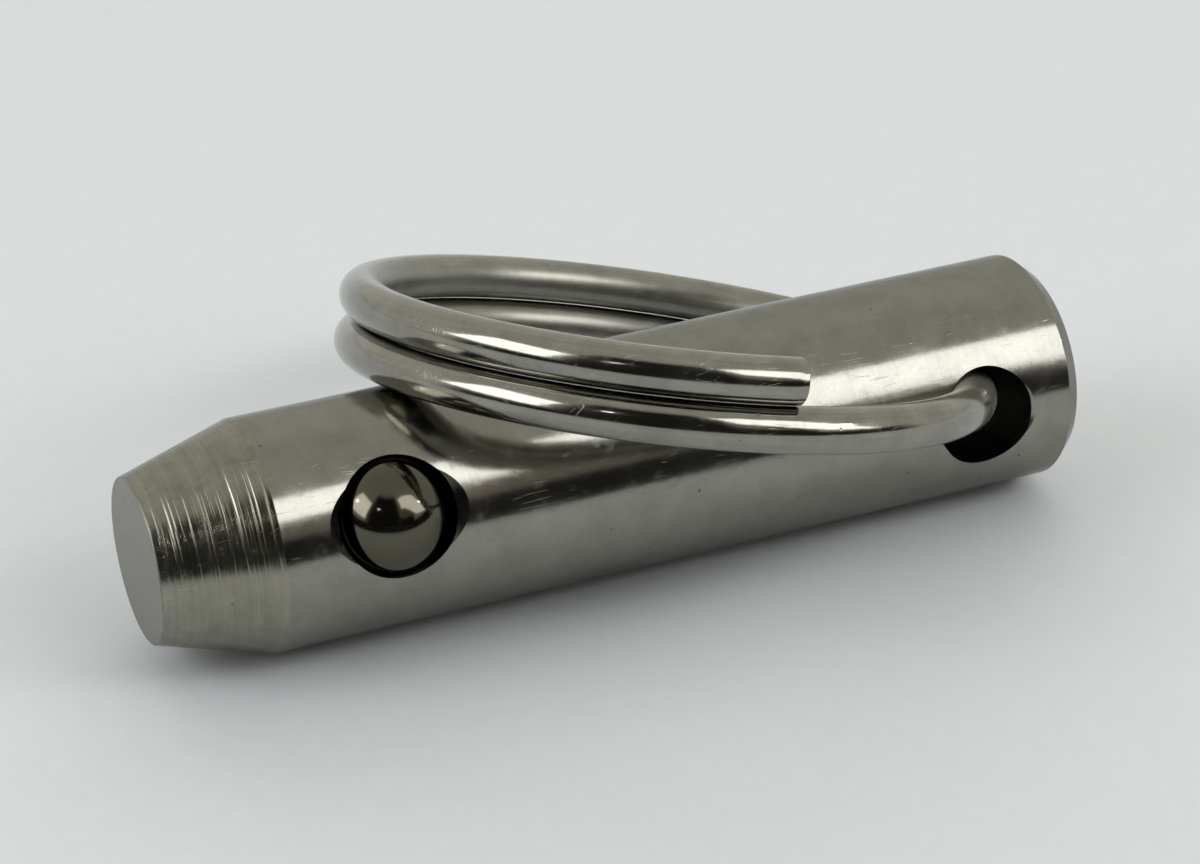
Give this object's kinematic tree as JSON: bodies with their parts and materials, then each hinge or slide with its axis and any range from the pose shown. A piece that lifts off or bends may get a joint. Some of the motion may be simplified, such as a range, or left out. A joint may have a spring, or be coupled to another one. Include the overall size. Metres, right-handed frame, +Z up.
{
  "type": "detent pin",
  "caption": "Straight steel locking pin with a cone nose, a spring-loaded detent ball near the nose, and a split ring handle through a cross hole near the head.",
  "frame": {"origin": "centre of the flat nose face, on the shank axis", "axes": "+X along the shank from the nose to the head, +Z up from the ground the pin lies on, -Y the side where the ball and the ring's visible end are"},
  "size_m": [0.0529, 0.0356, 0.0194],
  "materials": {
    "shank_steel": "satin turned steel with fine lengthwise scratches and small nicks",
    "ball_steel": "polished ball steel",
    "spring_steel": "drawn spring wire",
    "ring_steel": "smooth drawn wire, glossy, with worn streaks"
  },
  "bodies": {
    "pin": {"shank": "shank_steel", "detent_spring": "spring_steel"},
    "ball": {"detent_ball": "ball_steel"},
    "ring": {"split_ring": "ring_steel"}
  },
  "joints": [
    {"name": "ball_press", "type": "slide", "parent": "pin", "child": "ball", "axis": [0, 0.8738, -0.4863], "range_m": [0, 0.0012], "stiffness_N_per_m": 1500, "springref_m": -0.002, "deforming": ["detent_spring"]},
    {"name": "ring_swing", "type": "hinge", "parent": "pin", "child": "ring", "pos_m": [0.04684, 0, 0], "axis": [0, 0.9778, -0.2096], "range_deg": [0, 325]}
  ]
}
